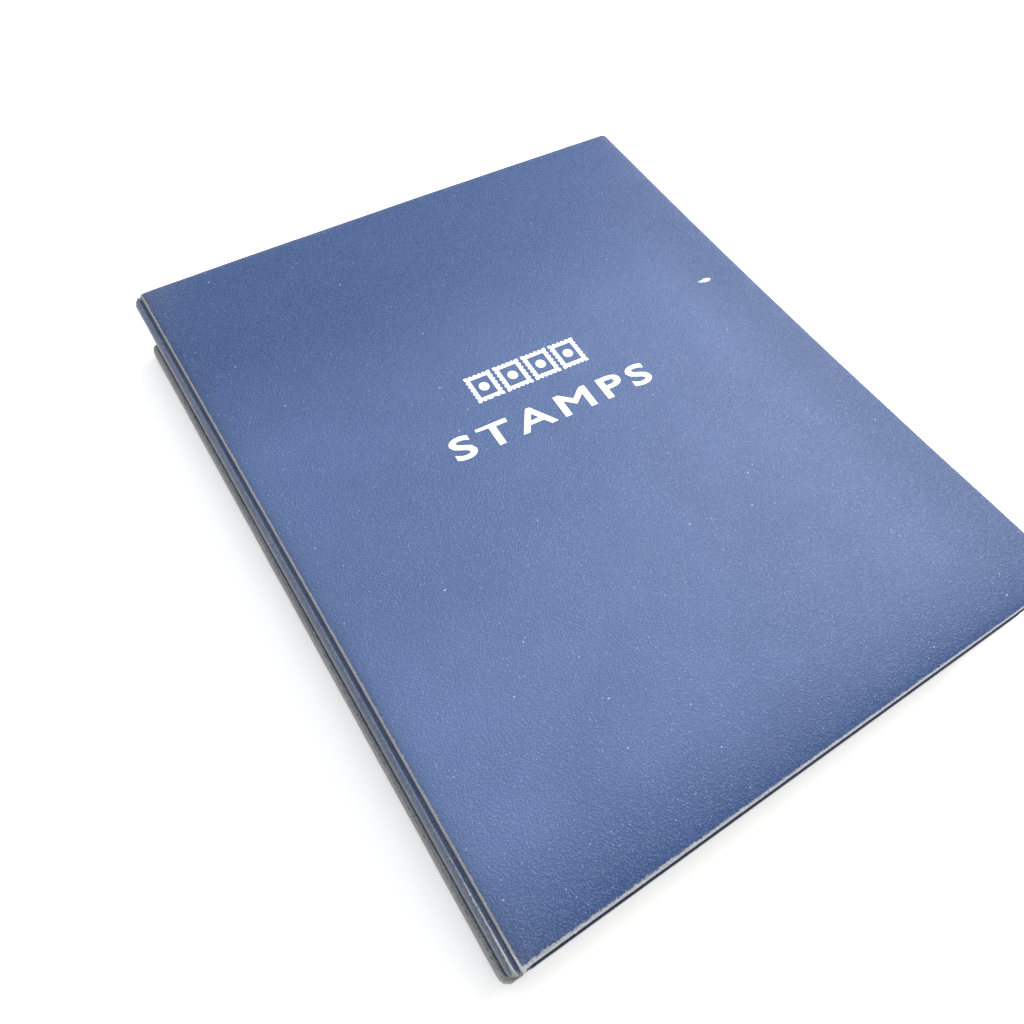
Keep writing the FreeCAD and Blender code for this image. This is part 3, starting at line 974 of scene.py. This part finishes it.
def makeJoints():
    s = spineSettings
    upper = jointCloth("upperJointCloth", "upper_hinge_cloth", s["upper"], *s["upperEnd"])
    paint(upper, wear=upperWearAndShade, rub=lambda spot: 0.8 if spot.x < -116.2 else 0.55)
    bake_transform(upper)

    lower = jointCloth("lowerJointCloth", "lower_hinge_cloth", s["lower"], *s["lowerEnd"])
    paint(lower, wear=lowerWearAndShade, rub=lambda spot: 1.35 if spot.x < -116.8 and spot.z > 0.8 else 0.7)
    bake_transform(lower)


def makeSpineFace():
    # turned in over the board's ends
    s = spineSettings
    left = spineLow.x
    end = [(spineHigh.x, -headY)] + [(left + inset, -headY + reach) for inset, reach in s["faceTurn"]]
    start = end[-1][1]
    count, levelCount = s["faceSteps"]
    path = end + [(left, start - 2 * start * k / count) for k in range(1, count)]
    path += [(x, -y) for x, y in reversed(end)]
    shares = [k / levelCount for k in range(levelCount + 1)]
    height, lengthY, lengthZ, seed = s["faceWave"]
    points = []
    for x, y in path:
        for share in shares:
            z = spineLow.z + (spineHigh.z - spineLow.z) * share
            belly = s["faceBelly"] * (1 - (2 * share - 1) ** 2)
            wave = height * noise.noise(Vector((y / lengthY, z / lengthZ, seed)))
            out = belly + wave if abs(y) < headY - 1 else 0
            points.append((leanedIn(x - out, z), y, z))
    face = makeObject("spineFaceCloth", points, sheetFaces(len(path), len(shares), turned=True), leathercloth)
    thickenCloth(face, s["cloth"])
    paint(face, wear=faceWear, rub=lambda spot: 0.85)
    finishPiece(face, "spine", "leathercloth", "spine_cloth")


def makeLeaningPlate(name, nodeName, material, slotName):
    s = spineSettings
    low, high = boxOf(nodeName)
    share, most = s["boardSoft"]
    soft = share * min(high.x - low.x, most)
    outline = [(low.x, low.z + soft), (low.x, high.z - soft), (low.x + soft, high.z), (high.x - soft, high.z),
               (high.x, high.z - soft), (high.x, low.z + soft), (high.x - soft, low.z), (low.x + soft, low.z)]
    count = s["boardSteps"]
    stations = [low.y + (high.y - low.y) * k / count for k in range(count + 1)]
    points, faces = ringSurface([[(leanedIn(x, z), y, z) for x, z in outline] for y in stations])
    piece = makeObject(name, points, faces, material)
    softenCorners(piece, 30)
    finishPiece(piece, "spine", slotName, nodeName)


makeJoints()
makeSpineFace()
makeLeaningPlate("spineBoardLeaning", "spine_board", papers["greyBoard"], "greyboard")
makeLeaningPlate("spineLiningPaper", "spine_lining", papers["liningPaper"], "lining_paper")
print("spine made")


# leaves

leafSettings = {
    "rise": 5.6,  # from the flat part to the part over the rings
    "fallStart": -81.7,
    "fallEnd": -47.7,
    "bendCuts": 12,
    "holeRadius": 3.5,
    "holeX": -87.7,
    "holeRows": (-105.0, -35.0, 35.0, 105.0),
    "stray": 0.35,  # how far single leaves stand out of the pile
    "skew": 0.0012,
    "wave": (0.05, 37),  # height and length
    "stiffFrom": 0.9,  # a leaf this full is card, and has no wave
}


def leafOutline(left, right, half):
    # one flat punched leaf as triangles, cut across where it bends
    s = leafSettings
    holes = [circle(s["holeX"], y, s["holeRadius"], 20) for y in s["holeRows"]]
    bm = flatShape([rectangle(left, right, -half, half)] + holes)
    for k in range(s["bendCuts"] + 1):
        x = s["fallStart"] + (s["fallEnd"] - s["fallStart"]) * k / s["bendCuts"]
        bmesh.ops.bisect_plane(bm, geom=bm.verts[:] + bm.edges[:] + bm.faces[:], dist=1e-5,
                               plane_co=(x, 0, 0), plane_no=(1, 0, 0))
    turnUp(bm)
    bm.verts.index_update()
    points = [(v.co.x, v.co.y) for v in bm.verts]
    faces = [[v.index for v in face.verts] for face in bm.faces]
    rimLoops = [edge.link_loops[0] for edge in bm.edges if len(edge.link_faces) == 1]
    rim = [(loop.vert.index, loop.link_loop_next.vert.index) for loop in rimLoops]
    bm.free()
    return points, faces, rim


def leafLevel(x):
    s = leafSettings
    share = rising(x, s["fallStart"], s["fallEnd"] - s["fallStart"])
    return s["rise"] * (1 - share * share * (3 - 2 * share))


leafLow, leafHigh = boxOf("leaf_bundle_1")
leafPoints, leafFaces, leafRim = leafOutline(leafLow.x, leafHigh.x, leafHigh.y)


def makeLeaves(name, nodeName, count, fullness, material, slotName):
    s = leafSettings
    low, high = boxOf(nodeName)
    pitch = (high.z - low.z - s["rise"]) / count
    waveHeight, waveLength = s["wave"]
    if fullness >= s["stiffFrom"]:
        waveHeight = 0
    total = len(leafPoints)
    rng = random.Random(nodeName)
    points = []
    faces = []
    for turn in range(count):
        strayX = rng.uniform(-1, 0.2) * s["stray"]
        strayY = rng.uniform(-1, 1) * s["stray"]
        skew = rng.uniform(-s["skew"], s["skew"])
        bottom = low.z + turn * pitch
        start = len(points)
        for lift in (0, pitch * fullness):
            for x, y in leafPoints:
                wave = waveHeight * math.sin(y / waveLength + turn)
                points.append((x + strayX - y * skew, y + strayY + x * skew,
                               bottom + lift + leafLevel(x) + wave))
        faces += [[start + c for c in reversed(face)] for face in leafFaces]
        faces += [[start + total + c for c in face] for face in leafFaces]
        faces += [[start + a, start + b, start + total + b, start + total + a] for a, b in leafRim]
    piece = makeObject(name, points, faces, material, smooth=False)
    finishPiece(piece, "back_cover", slotName, nodeName)


makeLeaves("endLeafCard", "end_leaf", 1, 0.92, papers["endCard"], "end_card")
for turn in range(1, 6):
    makeLeaves(f"albumLeaves{turn}", f"leaf_bundle_{turn}", 12, 0.72, papers["albumLeaf"], "album_leaf")
for turn in range(1, 5):
    makeLeaves(f"glassineLeaf{turn}", f"glassine_sheet_{turn}", 1, 0.5, glassine, "glassine")
makeLeaves("titleLeafCard", "title_leaf", 1, 0.7, papers["albumLeaf"], "album_leaf")
print("leaves made")


# foil stamping on the front: a strip of plain stamp shapes over a plain word

foilSettings = {
    "slant": -2.1,  # degrees
    "stripCentre": (1.0, 31.7),
    "stampCount": 4,
    "stampSize": (11.6, 13.4),
    "stampGap": 1.3,
    "toothPitch": 1.93,
    "toothRadius": 0.52,
    "windowInset": 2.0,
    "discRadius": 2.1,
    "word": "STAMPS",
    "wordStart": (-45.0, 6.1),
    "wordSize": (88.0, 10.0),
    "boldness": 0.34,
    "thickness": 0.05,
    "lift": 0.02,
    "depth": 0.2,  # how far the foil reaches into the skin
}


def perforatedLoop(width, height):
    # rectangle with half-round bites along each side
    s = foilSettings
    radius = s["toothRadius"]
    corners = rectangle(-width / 2, width / 2, -height / 2, height / 2)
    loop = []
    for start, end in zip(corners, corners[1:] + corners[:1]):
        run = Vector(end) - Vector(start)
        along = run.normalized()
        inward = Vector((-along.y, along.x))
        bites = round(run.length / s["toothPitch"]) - 1
        loop.append(Vector(start))
        for k in range(1, bites + 1):
            centre = Vector(start) + run * k / (bites + 1)
            for step in range(7):
                angle = math.pi * step / 6
                loop.append(centre - along * radius * math.cos(angle) + inward * radius * math.sin(angle))
    return loop


def pressFoil(name, bm):
    # lays a flat shape on the cover and gives it a thickness
    s = foilSettings
    turnUp(bm)
    made = bmesh.ops.extrude_face_region(bm, geom=bm.faces[:])
    raised = {v for v in made["geom"] if isinstance(v, bmesh.types.BMVert)}
    for vertex in bm.verts:
        x, y = vertex.co.x, vertex.co.y
        level = coverTop(x, y) + dents(x, y) + warp(x, y) + s["lift"]
        vertex.co.z = level + (s["thickness"] if vertex in raised else -s["depth"])
    bmesh.ops.recalc_face_normals(bm, faces=bm.faces[:])
    bmesh.ops.scale(bm, vec=(mm, mm, mm), verts=bm.verts[:])
    mesh = bpy.data.meshes.new(name)
    bm.to_mesh(mesh)
    bm.free()
    mesh.materials.append(whiteFoil)
    piece = bpy.data.objects.new(name, mesh)
    scene.collection.objects.link(piece)
    finishPiece(piece, "front_cover", "leathercloth")


def embolden(bm, amount):
    # moves each rim point outward, away from its faces
    bm.normal_update()
    shifts = {}
    for edge in bm.edges:
        if len(edge.link_faces) != 1:
            continue
        first, second = edge.verts
        along = (second.co - first.co).normalized()
        outward = Vector((along.y, -along.x, 0))
        middle = (first.co + second.co) / 2
        if outward.dot(edge.link_faces[0].calc_center_median() - middle) > 0:
            outward = -outward
        for vertex in edge.verts:
            shifts[vertex] = shifts.get(vertex, Vector()) + outward
    for vertex, shift in shifts.items():
        if shift.length > 0.05:
            vertex.co += shift.normalized() * amount * min(2 / shift.length, 1.5)


def wordShape():
    # the word from the built-in letters, as a flat shape in a unit box
    s = foilSettings
    text = bpy.data.curves.new("word", "FONT")
    text.body = s["word"]
    text.space_character = 1.25
    text.resolution_u = 4
    holder = bpy.data.objects.new("word", text)
    scene.collection.objects.link(holder)
    bpy.context.view_layer.update()
    mesh = bpy.data.meshes.new_from_object(holder.evaluated_get(bpy.context.evaluated_depsgraph_get()))
    bpy.data.objects.remove(holder)
    bm = bmesh.new()
    bm.from_mesh(mesh)
    bmesh.ops.remove_doubles(bm, verts=bm.verts[:], dist=1e-5)
    xs = [v.co.x for v in bm.verts]
    ys = [v.co.y for v in bm.verts]
    for vertex in bm.verts:
        vertex.co = ((vertex.co.x - min(xs)) / (max(xs) - min(xs)),
                     (vertex.co.y - min(ys)) / (max(ys) - min(ys)), 0)
    return bm


def makeFoil():
    s = foilSettings
    turn = Matrix.Rotation(math.radians(s["slant"]), 2)
    width, height = s["stampSize"]
    windowX, windowY = width / 2 - s["windowInset"], height / 2 - s["windowInset"]
    edge = [perforatedLoop(width, height), rectangle(-windowX, windowX, -windowY, windowY)]
    disc = [circle(0, 0, s["discRadius"], 24)]
    for k in range(s["stampCount"]):
        middle = Vector(((k - (s["stampCount"] - 1) / 2) * (width + s["stampGap"]), 0))
        for label, loops in (("Edge", edge), ("Disc", disc)):
            placed = [[turn @ (Vector(p) + middle) + Vector(s["stripCentre"]) for p in loop]
                      for loop in loops]
            pressFoil(f"foilStamp{label}{k + 1}", flatShape(placed))
    bm = wordShape()
    wordX, wordY = s["wordSize"]
    for vertex in bm.verts:
        place = turn @ Vector((vertex.co.x * wordX, vertex.co.y * wordY)) + Vector(s["wordStart"])
        vertex.co = (place.x, place.y, 0)
    embolden(bm, s["boldness"])
    pressFoil("foilWord", bm)


makeFoil()
print("foil stamping made")


# finishes for the CAD parts that show as they are

def finishNodes(material, *names):
    for name in names:
        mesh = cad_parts[name].data
        mesh.materials.clear()
        mesh.materials.append(material)


finishNodes(nickel, "ring_arch_plate", "left_rail", "right_rail", "left_half_rings", "right_half_rings",
            "head_lever", "tail_lever", "rivets")
finishNodes(papers["greyBoard"], "back_board")
print("CAD parts finished")


# floor, light and camera

studioSettings = {
    "floorColours": ((0.90, 0.90, 0.90), (0.909, 0.909, 0.909)),
    "floorHalf": 3.0,  # metres
    "floorGlow": 0.30,  # keeps the floor pale under the album's edges
    "world": 0.66,
    "lights": (  # name, place, size, power
        ("key", (0.74, 0.16, 0.82), 0.70, 18.0),
        ("overhead", (0.06, 0.34, 1.14), 0.45, 3.0),
        ("fill", (-0.60, -0.70, 1.00), 1.20, 2.0),
    ),
}


def makeFloor():
    s = studioSettings
    material, place = newMaterial("paleFloor")
    tone = fade(noiseOf(place, 0.01), 0.3, 0.7)
    shade({
        "Base Color": mixColour(tone, *s["floorColours"]),
        "Roughness": 0.7,
        "Specular IOR Level": 0.2,
        "Emission Color": (1, 1, 1, 1),
        "Emission Strength": s["floorGlow"],
    })
    half = s["floorHalf"] / mm
    points = [(x, y, -0.02) for x, y in rectangle(-half, half, -half, half)]
    floor = makeObject("floor", points, [(0, 1, 2, 3)], material, smooth=False)


def makeLight():
    s = studioSettings
    world = bpy.data.worlds.new("studio")
    world.use_nodes = True
    background = world.node_tree.nodes["Background"]
    background.inputs["Color"].default_value = (1, 1, 1, 1)
    background.inputs["Strength"].default_value = s["world"]
    scene.world = world
    for name, place, size, power in s["lights"]:
        light = bpy.data.lights.new(name, "AREA")
        light.shape = "SQUARE"
        light.size = size
        light.energy = power
        holder = bpy.data.objects.new(name, light)
        holder.location = place
        holder.rotation_euler = (-Vector(place)).to_track_quat("-Z", "Y").to_euler()
        scene.collection.objects.link(holder)
    scene.view_settings.view_transform = "Standard"


cameraSettings = {
    "place": (-139.7, -146.0, 287.9),
    "target": (-39.5, -21.0, 34.0),
    "lens": 29.79,
    "roll": 7.29,  # degrees
}


def makeCamera():
    s = cameraSettings
    lens = bpy.data.cameras.new("camera")
    lens.lens = s["lens"]
    lens.sensor_width = 36
    lens.clip_start = 0.01
    holder = bpy.data.objects.new("camera", lens)
    scene.collection.objects.link(holder)
    place = Vector(s["place"])
    aim = (Vector(s["target"]) - place).to_track_quat("-Z", "Y").to_matrix().to_4x4()
    roll = Matrix.Rotation(math.radians(s["roll"]), 4, "Z")
    holder.matrix_world = Matrix.Translation(place * mm) @ aim @ roll
    scene.camera = holder


makeFloor()
makeLight()
makeCamera()
print("floor, lights and camera placed")
